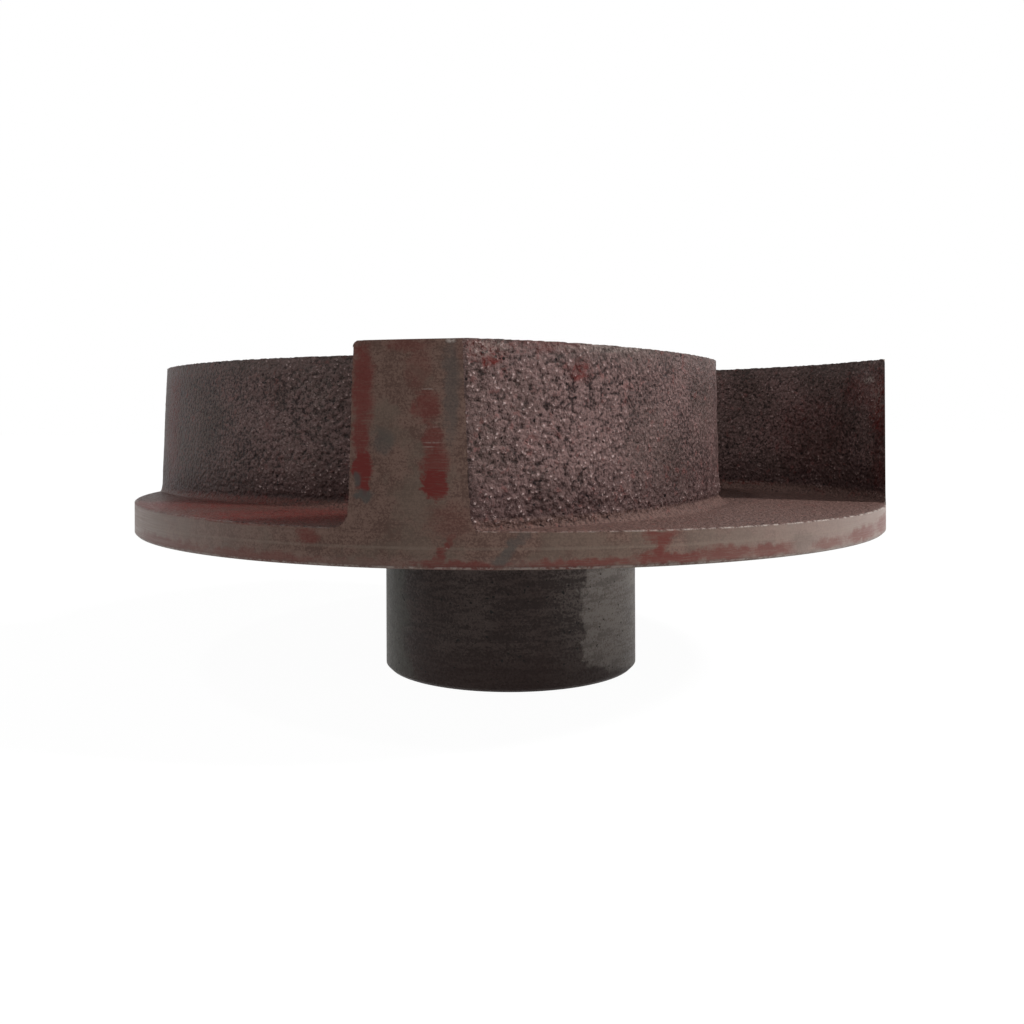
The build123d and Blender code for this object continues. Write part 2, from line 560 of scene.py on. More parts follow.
outline = np.concatenate([
    run(start, end, np.linspace(0, 1, count, endpoint=False)[:, None])
    for run, start, end, count in zip(runs, starts, np.roll(starts, -1, axis=0), counts)
])
outline_zones = np.repeat(zones, counts)
print(len(outline), "outline points")

# %% Turning the outline about the shaft
body_columns = 440
keyway_half_angle = np.arcsin(keyway_half_width / bore_radius)


def body_angles():
    """Angles round the shaft, with the keyway's corners among them."""
    angles = np.linspace(0, 2 * np.pi, body_columns, endpoint=False)
    floor_half_angle = np.arctan(keyway_half_width / keyway_reach)
    for corner in np.outer((1, -1), (keyway_half_angle, floor_half_angle)).ravel():
        angles[np.argmin(abs(angles - np.pi / 2 - corner))] = np.pi / 2 + corner
    return angles


def keyway_radius(angles):
    """Distance from the shaft to the keyway's wall: its floor is across +Y, its sides along it."""
    off = abs(angles - np.pi / 2)
    inside = off <= keyway_half_angle + 1e-9
    sides = keyway_half_width / np.sin(np.maximum(off, 1e-6))
    return np.where(inside, np.minimum(keyway_reach / np.cos(off), sides), 0)


def body_skin():
    """Points of the round body, outline by angles, with its keyway and its cast irregularities."""
    angles = body_angles()
    radius = np.maximum(outline[:, :1], keyway_radius(angles))
    height = outline[:, 1:] + 0 * angles
    points = np.concatenate([radius[..., None] * direction(angles), height[..., None]], axis=-1)
    on_plate = smooth_step(radius, nose_foot_radius - 4, nose_foot_radius + 4)
    on_plate = on_plate * (height > plate_underside + 1)
    relief = sand_relief(points[..., 0], points[..., 1], 0.3, 71)
    relief = relief * (1 - smooth_step(radius, 88, 88.9))
    lift = tilt(points) * (height > rim_bottom + 0.1) * (height - plate_underside)
    points[..., 2] += on_plate * (relief + lift / (plate_top - plate_underside))
    return points, np.where(on_plate > 0, 0.35 + relief, 0.5)


body_points, body_relief = body_skin()
body_numbers = np.arange(body_points[..., 0].size).reshape(body_points.shape[:2])
body_numbers = np.concatenate([body_numbers, body_numbers[:1]])
body_numbers = np.concatenate([body_numbers, body_numbers[:, :1]], axis=1)
body_patches = [
    (grid_faces(body_numbers[row : row + 2]), zone) for row, zone in enumerate(outline_zones)
]
print("round body of", body_relief.size, "points, relief up to", body_relief.max().round(2))

# %% [markdown]
# ## Finishes
#
# The casting was dipped in a dull red-brown primer and then turned, so the lathe's faces show bare
# iron with primer wiped over them by hand. We could paint all this on image maps, but the marks
# would blur close up. Instead each finish is worked out from the place on the part, in
# millimetres. Effects that more than one finish shares are node groups.

# %% Nodes and arithmetic


def feed(socket, value):
    """Links a node's output to a socket, or sets the socket to a plain number, vector or colour."""
    if isinstance(value, bpy.types.NodeSocket):
        socket.id_data.links.new(value, socket)
    else:
        socket.default_value = (*value, 1) if socket.type == "RGBA" else value


def add_node(kind, inputs, tree=None, **settings):
    """A node with its settings made, and then its inputs filled in by name or by number.

    It goes into the given tree, or else into the one that its first linked input comes from.
    """
    if tree is None:
        linked = [value for value in inputs.values() if isinstance(value, bpy.types.NodeSocket)]
        tree = linked[0].id_data
    node = tree.nodes.new("ShaderNode" + kind)
    for name, setting in settings.items():
        setattr(node, name, setting)
    for key, value in inputs.items():
        feed(node.inputs[key], value)
    return node


def calc(operation, *values, clamp=False):
    """One step of arithmetic."""
    inputs = dict(enumerate(values))
    return add_node("Math", inputs, operation=operation, use_clamp=clamp).outputs[0]


def product(first, *others):
    """All the values multiplied together."""
    for other in others:
        first = calc("MULTIPLY", first, other)
    return first


def vector_calc(operation, *values):
    """One step of arithmetic on vectors; a length comes out as a number."""
    node = add_node("VectorMath", dict(enumerate(values)), operation=operation)
    return node.outputs["Value" if operation == "LENGTH" else "Vector"]


# %% Ramps, noise and colours


def ramp(value, low, high, start=0.0, end=1.0):
    """start below low, end above high and an S-curve between."""
    inputs = {"Value": value, "From Min": low, "From Max": high, "To Min": start, "To Max": end}
    node = add_node("MapRange", inputs, interpolation_type="SMOOTHSTEP")
    return node.outputs["Result"]


def noise(place, scale, detail=2.0, roughness=0.5, output="Fac"):
    """Cloudy noise around one half, with one cloud about 1 / scale wide.

    The output Color is three unrelated clouds at once, to bend a place with.
    """
    inputs = {"Vector": place, "Scale": scale, "Detail": detail, "Roughness": roughness}
    return add_node("TexNoise", inputs).outputs[output]


def mix_colour(share, first, second):
    """The first colour where the share is 0 and the second where it is 1."""
    node = add_node("Mix", {"Factor": share, 6: first, 7: second}, data_type="RGBA")
    return node.outputs[2]


def layered(colour, *layers):
    """A ground colour with other colours laid over it in turn, each as far as its share."""
    for share, over in layers:
        colour = mix_colour(share, colour, over)
    return colour


# %% Places and groups


def split(place):
    """The three coordinates of a place."""
    return add_node("SeparateXYZ", {0: place}).outputs


def combine(*coordinates):
    """A place from its coordinates."""
    return add_node("CombineXYZ", dict(enumerate(coordinates))).outputs[0]


def radius_of(place):
    """Distance of a place from the shaft's axis."""
    return vector_calc("LENGTH", vector_calc("MULTIPLY", place, (1, 1, 0)))


def make_group(name, effect):
    """A node group that takes a place in millimetres and gives the numbers the effect works out."""
    tree = bpy.data.node_groups.new(name, "ShaderNodeTree")
    tree.interface.new_socket("Place", in_out="INPUT", socket_type="NodeSocketVector")
    results = effect(tree.nodes.new("NodeGroupInput").outputs["Place"])
    for output in results:
        tree.interface.new_socket(output, in_out="OUTPUT", socket_type="NodeSocketFloat")
    sockets = tree.nodes.new("NodeGroupOutput").inputs
    for output, value in results.items():
        feed(sockets[output], value)
    print("group", name, "gives", ", ".join(results), "from", len(tree.nodes), "nodes")
    return tree


def use_group(group, place):
    """The outputs of a node group at a place."""
    return add_node("Group", {"Place": place}, node_tree=group).outputs


# %% [markdown]
# ### Marks that sit in one place
#
# The primer was wiped on by hand and ran in places. Random patches alone would put it anywhere, so
# the marks that can be seen are placed one by one. Each is a soft ellipse with a ragged border, and
# several that overlap make a longer run. Most lie on the turned cylinder, so it is simplest to give
# them as an angle round the shaft in degrees, a height and how far they reach each way. Those on
# the vanes' sides and the plate are given by X, Y and Z. Grey smudges and light spots are placed in
# the same two ways. Some light spots are chips, where paint has chipped off or the metal is rubbed
# pale; others are painted light: soft pale patches for lamp light that falls short, and pale
# specks that are painted highlights for glints.

# %% Where the marks are
primer_on_rim = [
    # angle, height, half angle, half height, strength: on the front vane's tip
    (-106.1, 66.2, 1.35, 8.0, 0.78),
    (-106.3, 58.0, 1.0, 5.0, 0.80),
    (-106.2, 52.4, 1.05, 2.9, 1.10),
    (-105.9, 50.4, 0.6, 2.0, 1.10),
    (-99.7, 69.0, 1.6, 4.0, 0.30),
    (-99.0, 63.0, 1.5, 2.8, 0.62),
    (-98.2, 57.8, 1.2, 2.4, 0.62),
    (-97.9, 53.6, 1.5, 3.6, 0.80),
    (-98.0, 50.2, 1.25, 2.4, 1.05),
    (-101.0, 73.3, 2.6, 1.4, 0.40),
    (-96.6, 43.6, 2.6, 3.6, 0.22),
    # along the rim, from the left to the right
    (-140.0, 36.9, 12.0, 1.2, 0.50),
    (-120.0, 36.7, 9.0, 1.2, 0.50),
    (-106.0, 36.7, 6.0, 0.8, 0.18),
    (-112.8, 41.0, 1.5, 1.3, 0.60),
    (-95.5, 36.5, 5.5, 0.8, 0.72),
    (-96.2, 41.5, 0.45, 0.8, 0.40),
    (-96.5, 40.5, 0.45, 0.8, 0.55),
    (-96.9, 39.5, 0.45, 0.8, 0.75),
    (-97.3, 38.5, 0.45, 0.9, 0.70),
    (-97.6, 37.4, 0.50, 1.0, 0.60),
    (-82.3, 36.7, 6.8, 0.9, 0.68),
    (-73.2, 41.3, 2.1, 0.8, 0.70),
    (-73.3, 40.2, 1.4, 1.2, 0.75),
    (-73.5, 38.4, 0.8, 1.6, 0.80),
    (-72.0, 37.2, 5.0, 1.1, 0.75),
    (-65.0, 37.4, 5.0, 1.4, 0.65),
    (-58.5, 37.3, 4.0, 1.2, 0.60),
    (-47.5, 37.3, 3.5, 1.1, 0.50),
    (-38.0, 37.8, 6.0, 1.6, 0.60),
    (-27.0, 38.3, 6.0, 2.0, 0.60),
]
primer_on_skin = [
    # place, reach each way, strength
    ((-4.5, -87, 72.4), (4.4, 4, 2.2), 0.60),
    ((-6.2, -88, 72.9), (1.4, 3, 1.2), 0.80),
    ((-3.2, -87, 70.9), (2.0, 3, 1.3), 0.95),
    ((8, -82, 73.6), (12, 6, 1.3), 0.45),
    ((12.5, -78, 69.2), (2.3, 5, 2.2), 0.75),
    ((29.3, -66, 73.2), (1.1, 4, 0.9), 0.90),
    ((84.5, -24.5, 64), (3.0, 4.5, 7.5), 0.95),
    ((84.5, -25.5, 51), (2.5, 4.0, 7.0), 0.40),
    ((-83, -7, 59), (4, 9, 15), 0.50),
    ((81.5, -17, 67), (4.5, 6, 4.0), 0.45),
    ((64, 14, 43.7), (9, 9, 0.5), 0.60),
    ((74, -2, 57), (14, 14, 9), 0.22),
    ((-62, -28, 43.4), (26, 24, 1.2), 0.55),
    ((-70, -38, 42), (19, 17, 2.4), 0.80),
    ((-44, -64, 42), (20, 17, 2.2), 0.85),
]
smudges_on_rim = [
    (-88.6, 41.5, 0.8, 0.8, 0.45),
    (-89.2, 40.6, 0.8, 0.9, 0.55),
    (-89.8, 39.6, 0.8, 0.9, 0.65),
    (-90.4, 38.6, 0.8, 1.0, 0.65),
    (-91.0, 37.5, 0.9, 1.1, 0.60),
    (-103.8, 57.0, 1.3, 2.2, 0.55),
    (-106.0, 48.0, 1.1, 0.9, 0.75),
    (-106.9, 50.6, 0.5, 1.1, 0.80),
    (-96.2, 66.0, 0.9, 9.0, 0.52),
    (-53.0, 38.2, 2.2, 1.8, 0.22),
]
chips_and_painted_light = [
    # place, reach each way, strength
    ((-9.6, -88.5, 73.9), (1.0, 2, 0.6), 0.9),
    ((-13.3, -88, 65.8), (1.9, 2, 0.16), 0.30),
    ((-13.0, -88, 59.5), (1.8, 2, 0.15), 0.25),
    ((-12.8, -88, 56.9), (1.9, 2, 0.16), 0.30),
    ((-13.4, -88, 56.2), (1.2, 2, 0.14), 0.25),
    ((-10.6, -88.3, 39.5), (0.8, 2, 0.25), 0.5),
    ((83.2, -20.3, 69.6), (2.4, 3.4, 1.0), 0.50),
    # painted highlights: pale specks in the red run near the second vane's tip stand in for glints
    ((84.4, -24, 65.5), (2.4, 4, 5), 0.25),
    # painted light: three soft pale patches on and round the fourth vane's convex side stand in for
    # lamp light
    ((-44, -41, 58), (13, 9, 12), 0.10),
    ((-41, -42, 67), (9, 7, 6), 0.14),
    ((-66, -26, 58), (27, 22, 19), 0.08),
    ((64, 14, 43.8), (8, 8, 0.3), 0.25),
    # painted highlights: pale specks in the red patch and along the top of the first vane
    ((-4, -87, 72.6), (5, 4, 2.0), 0.30),
    ((18, -74, 73.4), (18, 14, 0.8), 0.30),
    ((-82, -25, 42.8), (9, 14, 1.5), 0.22),
]
print(len(primer_on_rim) + len(primer_on_skin), "primer marks", len(smudges_on_rim), "smudges")

# %% Marks as a node group
rim_mark_depth = 2.5


def unroll(place):
    """Angle round the shaft in degrees, distance from the shaft, and height."""
    x, y, z = split(place)
    angle = calc("MULTIPLY", calc("ARCTAN2", y, x), 180 / np.pi)
    return combine(angle, radius_of(place), z)


def level(place):
    """Height on the casting, as if its plate didn't lean."""
    x, _, z = split(place)
    return calc("MULTIPLY_ADD", x, casting_tilt, z)


def soft_ellipses(place, border, marks):
    """The strongest of several marks, each a ramp over its border.

    A mark's own distance is the length of the offset from its centre divided by its reach.
    A mark stronger than 1 has a crisper border.
    """
    strength = 0.0
    for centre, reach, power in marks:
        offset = vector_calc("DIVIDE", vector_calc("SUBTRACT", place, centre), reach)
        inside = calc("SUBTRACT", border, vector_calc("LENGTH", offset))
        inside = ramp(inside, -0.20, 0.25 if power > 1 else 0.65, 0.0, power)
        strength = calc("MAXIMUM", strength, inside)
    return strength


def on_rim(marks):
    """Marks on the turned cylinder as ellipsoids in unrolled places."""
    return [
        ((angle, outer_radius, height), (wide, rim_mark_depth, high), power)
        for angle, height, wide, high, power in marks
    ]


def mark_strengths(place):
    """The red primer, grey smudges, and chips and painted light, each from 0 for none to 1 for
    full.

    Slow noise shifts the places, so that the marks' outlines wander. Fine noise makes the
    borders ragged, and noise squeezed in height scrapes the primer into streaks.
    """
    ragged = noise(place, 0.9, 4.0, 0.75)
    streaks = noise(vector_calc("MULTIPLY", place, (0.4, 0.4, 6.0)), 1.0, 2.0, 0.6)
    border = calc("MULTIPLY_ADD", ragged, 1.1, 0.45)
    border = calc("MULTIPLY_ADD", streaks, 0.30, border)
    shift = noise(place, 0.45, output="Color")
    shift = vector_calc("SUBTRACT", shift, (0.5, 0.5, 0.5))
    shift = vector_calc("MULTIPLY", shift, (2.6, 2.6, 2.6))
    shifted = vector_calc("ADD", place, shift)
    unrolled = unroll(shifted)
    on_skin = product(
        soft_ellipses(shifted, border, primer_on_skin),
        ramp(noise(shifted, 0.8, 3.0, 0.7), 0.44, 0.58, 0.35, 1.0),
        ramp(level(place), plate_top - 0.6, plate_top - 0.2),
    )
    primer = soft_ellipses(unrolled, border, on_rim(primer_on_rim))
    primer = calc("MAXIMUM", primer, on_skin)
    scraped = ramp(streaks, 0.28, 0.5, 0.55, 1.0)
    spots = soft_ellipses(place, 1.0, chips_and_painted_light)
    return {
        "Primer": calc("MULTIPLY", primer, scraped, clamp=True),
        "Smudge": soft_ellipses(unrolled, border, on_rim(smudges_on_rim)),
        "Light spot": calc("MULTIPLY", spots, ramp(ragged, 0.42, 0.56)),
    }


placed_marks = make_group("placed_marks", mark_strengths)

# %% [markdown]
# ### Nicked edges with a painted highlight
#
# Handling leaves small bright nicks along the two edges of the rim, and a painted highlight, more
# of it towards the lit +X side, stands for the light that the edges catch. Blender's own pointiness
# would treat every edge alike, so here a band along each edge is cut up by noise, and the upper one
# stops where a vane's tip runs down over the rim without an edge.

# %% Edge nicks and painted highlight as a node group
tip_middle = 79.1  # degrees into each quarter turn
rim_middle = (plate_underside + plate_top) / 2


def nicks_and_edge_highlight(place):
    """Bright nicks and painted highlight on the rim's edges, from 0 to 1, more towards +X."""
    x, _, z = split(place)
    top = ramp(level(place), plate_top - 0.26, plate_top - 0.14)
    # painted highlight: the upper edge grows brighter towards the lit +X side
    top = product(top, ramp(x, 5, 45, 0.20, 0.85))
    bottom = ramp(z, rim_bottom + 0.20, rim_bottom - 0.05, 0.0, 0.6)
    angle = calc("ADD", split(unroll(place))[0], 360.0)
    from_tip = calc("MODULO", angle, 360 / vane_count)
    from_tip = calc("ABSOLUTE", calc("SUBTRACT", from_tip, tip_middle))
    below = calc("LESS_THAN", z, rim_middle)
    nicks = noise(vector_calc("MULTIPLY", place, (1, 1, 0.3)), 0.5, 4.0, 0.8)
    nicked = product(
        calc("MAXIMUM", top, bottom),
        calc("LESS_THAN", z, plate_top + 0.9),
        ramp(radius_of(place), outer_radius - 0.40, outer_radius - 0.22),
        calc("MAXIMUM", ramp(from_tip, 6.2, 7.2), below),
        ramp(nicks, 0.42, 0.58),
    )
    return {"Wear": nicked}


edge_wear = make_group("edge_wear", nicks_and_edge_highlight)

# %% [markdown]
# ### Grain, tool marks and grime
#
# Under the millimetre, sand leaves grit and pin holes, and a lathe leaves lines that all lie the
# same way round. Both are too fine for the mesh, so they are bumps. On the rim the lines follow
# each other up the part, and on a flat face they follow each other outwards.

# %% Grain, tool marks and grime


def grit_and_pits(place):
    """Height of fine grit, domes one per grain, and pin holes, from 0 to 1 in a hole."""
    bend = noise(place, 1.2, output="Color")
    bend = vector_calc("MULTIPLY", bend, (0.5, 0.5, 0.5))
    bent = vector_calc("ADD", place, bend)
    cells = add_node("TexVoronoi", {"Vector": bent, "Scale": 1.15})
    return {
        "Height": noise(place, 1.8, 3.0, 0.7),
        "Domes": calc("SUBTRACT", 1.0, cells.outputs["Distance"]),
        "Pits": ramp(noise(place, 1.05, 1.0, 0.4), 0.30, 0.24),
    }


def lathe_lines(place):
    """Height of lathe lines on the rim and on a flat face, and the tone dirt gives the rim's."""
    up = vector_calc("MULTIPLY", place, (0.02, 0.02, 1.0))
    outward = combine(radius_of(place))
    return {
        "Rim height": noise(up, 4.0, 2.0, 0.6),
        "Rim tone": noise(up, 1.6, 4.0, 0.75),
        "Face height": noise(outward, 4.0, 2.0, 0.6),
    }


def slow_patches(place):
    """Slow patches of grime and of bare metal, each from 0 to 1."""
    elsewhere = vector_calc("ADD", place, (300, 0, 0))
    return {
        "Grime": ramp(noise(place, 0.07, 4.0, 0.6), 0.42, 0.64),
        "Bare": ramp(noise(elsewhere, 0.09, 4.0, 0.65), 0.48, 0.62),
    }


sand_grain = make_group("sand_grain", grit_and_pits)
tool_marks = make_group("tool_marks", lathe_lines)
grime = make_group("grime", slow_patches)

# %% From an effect to a finish
primer_red = (0.099, 0.0138, 0.0112)
bare_iron_and_painted_light = (0.34, 0.29, 0.26)


def make_finish(name, specular, effect, *choices, metallic=0.0):
    """A material whose look comes from the place on the part in millimetres.

    The effect gives its colour, its roughness, a height, and the depth in millimetres that a
    height of 1 stands for. The height tilts the shader's normal.
    """
    material = bpy.data.materials.new(name)
    material.use_nodes = True
    tree = material.node_tree
    on_part = add_node("TexCoord", {}, tree).outputs["Object"]
    place = vector_calc("MULTIPLY", on_part, (1 / MM, 1 / MM, 1 / MM))
    colour, roughness, height, depth = effect(place, *choices)
    bump = add_node("Bump", {"Strength": 1.0, "Distance": depth * MM, "Height": height})
    looks = {
        "Base Color": colour,
        "Roughness": roughness,
        "Metallic": metallic,
        "Specular IOR Level": specular,
        "Normal": bump.outputs["Normal"],
    }
    for socket, value in looks.items():
        feed(tree.nodes["Principled BSDF"].inputs[socket], value)
    print("finish", name, "has", len(tree.nodes), "nodes")
    return material


# %% [markdown]
# ### Primed casting
#
# The primer on the rough faces is dark in the hollows and pale and pinkish on the grains, partly
# as the primer lies and is rubbed, and partly as painted shade in the hollows and a painted
# highlight on the grains. Noise alone would ignore the shape, so the relief that each vertex brings
# from the mesh leads, and finer grit only varies it. Pale specks on the grain tops are painted
# glints. Slower changes lie on top, from grime and painted shade along the foot to thick red runs.

# %% Primed casting


def primed(place):
    """Tone from the relief and the grit, with layers over it by height and place."""
    relief = add_node("Attribute", {}, place.id_data, attribute_name="relief").outputs["Fac"]
    grain = use_group(sand_grain, place)
    placed = use_group(placed_marks, place)
    grit, domes = grain["Height"], grain["Domes"]
    x, _, z = split(place)
    fine = ramp(grit, 0.38, 0.62)
    # darker in the hollows and paler on the grains: partly how the primer lies, partly painted
    # shade in the hollows and painted highlight on the grains
    tone = calc("MULTIPLY_ADD", fine, 0.45, ramp(relief, 0.12, 0.85, 0.0, 0.55))
    tone = ramp(tone, 0.05, 0.95)
    grimy = calc("MULTIPLY", use_group(grime, place)["Grime"], 0.35)
    ragged_height = calc("MULTIPLY_ADD", noise(place, 0.12, 3.0, 0.6), 9.0, z)
    plate_share = ramp(z, plate_top + 2.3, plate_top + 1.2, 0.0, 0.78)
    plate_share = product(plate_share, ramp(fine, 0.05, 0.55, 0.45, 1.0))
    to_right = ramp(x, -45, 25)
    plate_colour = mix_colour(to_right, (0.090, 0.046, 0.037), (0.136, 0.081, 0.068))
    flecks = noise(place, 0.45, 3.0, 0.7)
    # painted highlights: pale specks on the grain tops stand in for glints
    painted_glint = product(
        ramp(domes, 0.62, 0.82),
        ramp(relief, 0.45, 0.80),
        ramp(grit, 0.46, 0.58, 0.0, 0.75),
    )
    colour = layered(
        mix_colour(tone, (0.013, 0.0065, 0.006), (0.165, 0.102, 0.095)),
        (grimy, (0.052, 0.036, 0.030)),
        # painted shade, with some dust: darker towards the vanes' foot and the plate
        (ramp(ragged_height, plate_top + 16, plate_top + 8, 0.0, 0.55), (0.030, 0.013, 0.0125)),
        (ramp(z, 69.0, 73.5, 0.0, 0.32), (0.125, 0.096, 0.088)),
        (plate_share, plate_colour),
        (ramp(flecks, 0.58, 0.68, 0.0, 0.35), (0.14, 0.04, 0.035)),
        (placed["Primer"], primer_red),
        (grain["Pits"], (0.008, 0.004, 0.004)),
        (painted_glint, (0.46, 0.35, 0.33)),
        # chips, and painted light from the placed spots
        (placed["Light spot"], bare_iron_and_painted_light),
        # nicks and a painted highlight along the rim's edges
        (use_group(edge_wear, place)["Wear"], bare_iron_and_painted_light),
    )
    height = calc("MULTIPLY_ADD", domes, 0.6, calc("MULTIPLY", grit, 0.8))
    return colour, ramp(grit, 0.35, 0.65, 0.32, 0.55), height, 0.55


# %% [markdown]
# ### Turned faces
#
# The lathe left bare iron, which has browned. It could be one colour with a metallic shine, but
# old dull metal hardly mirrors. So it is a mottle of two browns, paler where it is rubbed: low on
# the rim and along one tool line. It is paler at both sides of the front too, which is a painted
# highlight for the lamps' glare at a grazing angle.

# %% Turned faces
rubbed_metal_and_glare = (0.270, 0.213, 0.188)
tool_line = 39.35


def turned(place, height_output, with_nicks_and_highlight):
    """A mottle from three noises, with bare metal, marks and nicked edges over it.

    Its pale sides at the front are painted glare, and the nicks carry a painted highlight.
    """
    lines = use_group(tool_marks, place)
    placed = use_group(placed_marks, place)
    x, y, z = split(place)
    mottle = calc("MULTIPLY", noise(place, 2.6, 3.0, 0.75), 1.4)
    mottle = calc("MULTIPLY_ADD", lines["Rim tone"], 0.40, mottle)
    mottle = calc("MULTIPLY_ADD", noise(place, 0.25, 3.0, 0.7), 0.8, mottle)
    mottle = ramp(mottle, 1.10, 1.50)
    bare = calc("MULTIPLY", use_group(grime, place)["Bare"], 0.55)
    off_middle = calc("ABSOLUTE", calc("ADD", x, 8.0))
    # painted highlight: pale metal at both sides of the front stands in for the lamps' grazing
    # glare
    painted_glare_at_sides = product(ramp(off_middle, 22, 88, 0.0, 0.70), ramp(y, -14, -30))
    from_line = calc("ABSOLUTE", calc("SUBTRACT", z, tool_line))
    layers = [
        (bare, (0.108, 0.080, 0.062)),
        (painted_glare_at_sides, rubbed_metal_and_glare),
        (ramp(z, 38.2, 36.8, 0.0, 0.13), rubbed_metal_and_glare),
        (ramp(from_line, 0.40, 0.10, 0.0, 0.22), (0.200, 0.155, 0.125)),
        (placed["Primer"], primer_red),
        (placed["Smudge"], (0.050, 0.048, 0.044)),
        # chips, and painted light from the placed spots
        (placed["Light spot"], bare_iron_and_painted_light),
    ]
    # nicks and a painted highlight along the rim's edges
    if with_nicks_and_highlight:
        layers.append((use_group(edge_wear, place)["Wear"], bare_iron_and_painted_light))
    ground = mix_colour(mottle, (0.074, 0.041, 0.032), (0.142, 0.087, 0.069))
    roughness = ramp(lines[height_output], 0.3, 0.7, 0.40, 0.55)
    return layered(ground, *layers), roughness, lines[height_output], 0.02


# %% [markdown]
# ### Hub and bore
#
# The hub is oiled, dark and gritty, and wiped clean in one ragged patch at the front right. That
# patch is placed by its borders: three ramps along slanting lines that the same noise bends. The
# hub is also lighter towards +X, darker towards its lower end, which is painted shade, and pale
# grey-green along its left edge, which is a painted sheen. The bore is clean, so it is the one
# finish with some metallic shine.

# %% Hub and bore


def oiled(place):
    """Two browns by grime, lighter towards +X, with dark mottles, the wiped patch and pin holes.

    Painted shade darkens the lower end, and a painted sheen pales the left edge.
    """
    grain = use_group(sand_grain, place)
    grit = grain["Height"]
    x, y, z = split(place)
    streaks = noise(vector_calc("MULTIPLY", place, (0.12, 0.12, 0.7)), 1.0, 3.0, 0.7)
    mottle = calc("MULTIPLY_ADD", streaks, 0.6, calc("MULTIPLY", grit, 0.6))
    ragged = calc("MULTIPLY_ADD", noise(place, 0.16, 6.0, 0.72), 12.0, -6.0)
    to_right = calc("ADD", calc("MULTIPLY_ADD", y, 0.45, x), ragged)
    above = calc("MULTIPLY_ADD", x, 0.38, z)
    above = calc("MULTIPLY_ADD", ragged, 0.35, above)
    wiped = product(
        ramp(to_right, 3.8, 5.4),
        ramp(above, 10.4, 12.4),
        ramp(mottle, 0.50, 0.68, 0.95, 0.5),
        ramp(calc("MULTIPLY_ADD", ragged, 2.0, y), 14, 4),
    )
    dirty = use_group(grime, place)["Grime"]
    colour = layered(
        mix_colour(dirty, (0.140, 0.105, 0.094), (0.092, 0.064, 0.057)),
        (ramp(x, 6, 17, 0.0, 0.68), (0.215, 0.182, 0.164)),
        (ramp(mottle, 0.52, 0.68, 0.0, 0.8), (0.032, 0.021, 0.019)),
        # painted shade: darker towards the hub's lower end
        (ramp(z, 14, 2, 0.0, 0.7), (0.036, 0.020, 0.018)),
        (wiped, (0.370, 0.326, 0.296)),
        # painted sheen: pale grey-green along the hub's left edge stands in for reflected light
        (ramp(calc("ADD", x, ragged), -22, -27, 0.0, 0.8), (0.105, 0.100, 0.085)),
        (grain["Pits"], (0.012, 0.01, 0.009)),
    )
    return colour, ramp(grit, 0.35, 0.65, 0.45, 0.6), grit, 0.10


def bored(place):
    """Clean iron in two greys along the lathe's lines."""
    lines = use_group(tool_marks, place)
    tone = ramp(lines["Rim tone"], 0.35, 0.65)
    colour = mix_colour(tone, (0.10, 0.09, 0.08), (0.16, 0.15, 0.14))
    return colour, 0.42, lines["Rim height"], 0.02


finishes = [  # in the order of the zone numbers
    make_finish("primed_casting", 0.07, primed),
    make_finish("turned_rim", 0.15, turned, "Rim height", True),
    make_finish("turned_face", 0.15, turned, "Face height", False),
    make_finish("oiled_hub", 0.15, oiled),
    make_finish("bored_iron", 0.5, bored, metallic=0.6),
    make_finish("turned_tip", 0.15, turned, "Rim height", False),
]

# %% [markdown]
# ## Putting the pieces together
#
# The mould was rammed by hand, so no two vanes are equally rough. How coarse each one is depends
# on the distance from its tip and the height above the plate. Two also differ in shape: the
# first vane's top sinks a little, and the fourth has a thicker tip.

# %% The pieces


def coarse_near_tip(along, height):
    """Coarse at the tip and along the foot, finer further in."""
    inward = smooth_step(along, 8, 50)
    foot = smooth_step(-height, -9, -3)
    return 1.15 - 0.85 * inward * (1 - 0.6 * foot) + 0.25 * foot


def smooth_near_tip(along, height):
    """Smooth at the tip and coarser further in, where the foot turns coarse sooner than the top."""
    foot = smooth_step(-height, -14, -3)
    return 0.15 + 0.7 * smooth_step(along + 12 * foot, 34, 76)


def even(along, height):
    """Half of the full coarseness all over."""
    return 0.5 + 0 * along


def no_sag(along):
    """A level top."""
    return 0 * along


def inward_sag(along):
    """The top sinks by half a millimetre from the tip inwards."""
    return 0.5 * smooth_step(along, 2, 70)


make_piece("plate_hub_and_nose", body_points, body_relief, body_patches, finishes)
skins = [
    # coarseness, sag, and the tip's swelling at the top and at the foot
    (coarse_near_tip, inward_sag, (0, 0)),
    (even, no_sag, (0, 0)),
    (even, no_sag, (0, 0)),
    (smooth_near_tip, no_sag, (0.65, 1.65)),
]
for index, skin in enumerate(skins):
    make_piece(f"vane_{index + 1}", *vane_skin(index, *skin), finishes)

# %% [markdown]
# ## Studio
#
# The part stands on a white sheet in a white room. The main lamp is small and high on the right,
# so the grains throw crisp shadows. Two bigger, weaker ones to the left and in front soften them,
# and a small one above brings out the tops. A bright room would wash out the dark iron, so the
# eye, and every mirror image, sees sheet and room as plain white, while the light that they throw
# back is kept low. The sheet still shows a faint shadow.

# %% Sheet and room


def seen_directly(tree):
    """1 for a ray from the eye or from a mirror image, 0 for scattered light."""
    path = add_node("LightPath", {}, tree).outputs
    seen = calc("MAXIMUM", path["Is Camera Ray"], path["Is Glossy Ray"])
    return calc("MAXIMUM", seen, path["Is Transmission Ray"])


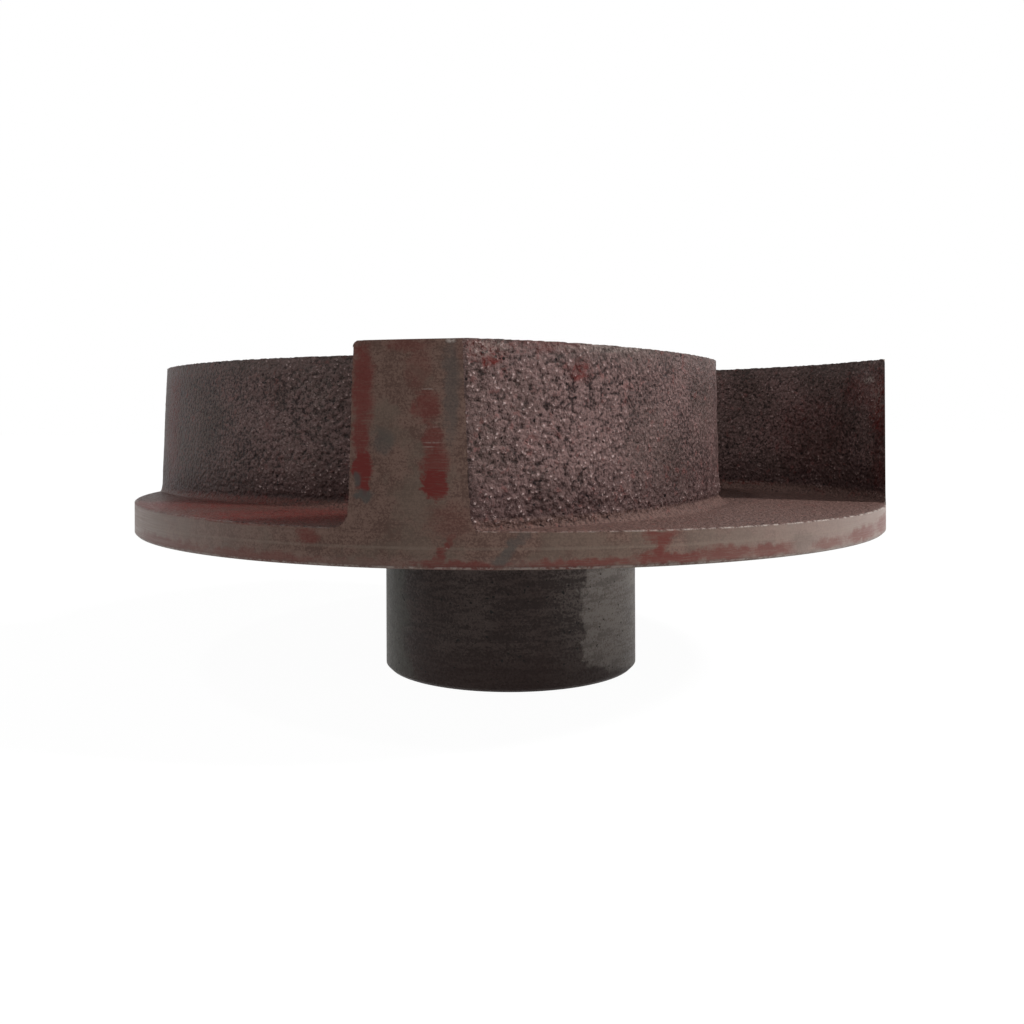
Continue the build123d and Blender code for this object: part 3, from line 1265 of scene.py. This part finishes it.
def sheet_material():
    """White paper: mostly glowing to the eye, more so far out, and diffuse for other light."""
    material = bpy.data.materials.new("white_sheet")
    material.use_nodes = True
    tree = material.node_tree
    tree.nodes.remove(tree.nodes["Principled BSDF"])
    paper = add_node("BsdfDiffuse", {"Color": (0.5, 0.5, 0.5)}, tree)
    glow = add_node("Emission", {"Strength": 1.09}, tree)
    place = add_node("TexCoord", {}, tree).outputs["Object"]
    share = ramp(vector_calc("LENGTH", place), 0.3, 1.0, 0.89, 0.95)
    share = calc("MULTIPLY", seen_directly(tree), share)
    both = add_node("MixShader", {"Fac": share, 1: paper.outputs[0], 2: glow.outputs[0]})
    feed(tree.nodes["Material Output"].inputs["Surface"], both.outputs[0])
    return material


sheet_mesh = bpy.data.meshes.new("sheet")
sheet_mesh.from_pydata([(-4, -4, 0), (4, -4, 0), (4, 4, 0), (-4, 4, 0)], [], [(0, 1, 2, 3)])
sheet_mesh.materials.append(sheet_material())
floor = put_in_scene("sheet", sheet_mesh)

scene = bpy.context.scene
scene.view_settings.view_transform = "Standard"
scene.world = bpy.data.worlds.new("white_room")
scene.world.use_nodes = True
room = scene.world.node_tree
background = room.nodes["Background"].inputs
feed(background["Color"], (1, 1, 1))
feed(background["Strength"], ramp(seen_directly(room), 0, 1, 0.08, 1.0))

# %% Lamps and camera


def soft_lamp(name, place, size, power):
    """A square lamp that faces the middle of the part."""
    lamp = bpy.data.lights.new(name, "AREA")
    lamp.size = size
    lamp.energy = power
    stand = put_in_scene(name, lamp)
    stand.location = place
    facing = Vector(place) - Vector((0, 0, 0.045))
    stand.rotation_euler = facing.to_track_quat("Z", "Y").to_euler()


soft_lamp("right_lamp", (0.68, -0.23, 0.60), 0.10, 10.0)
soft_lamp("left_lamp", (-0.78, -0.02, 0.30), 0.30, 1.2)
soft_lamp("front_lamp", (0.10, -0.80, 0.45), 0.30, 1.2)
soft_lamp("top_lamp", (-0.25, -0.40, 0.75), 0.06, 1.5)

lens = bpy.data.cameras.new("camera")
lens.lens = 35.56
lens.sensor_width = 36
lens.shift_x = 0.0010
lens.shift_y = -0.08985
camera = put_in_scene("camera", lens)
camera.location = (0.00022, -0.2556, 0.0606)
camera.rotation_euler = (np.pi / 2, np.radians(0.21), 0)
scene.camera = camera
print("camera", round(-camera.location.y / MM), "mm in front of the shaft's axis")
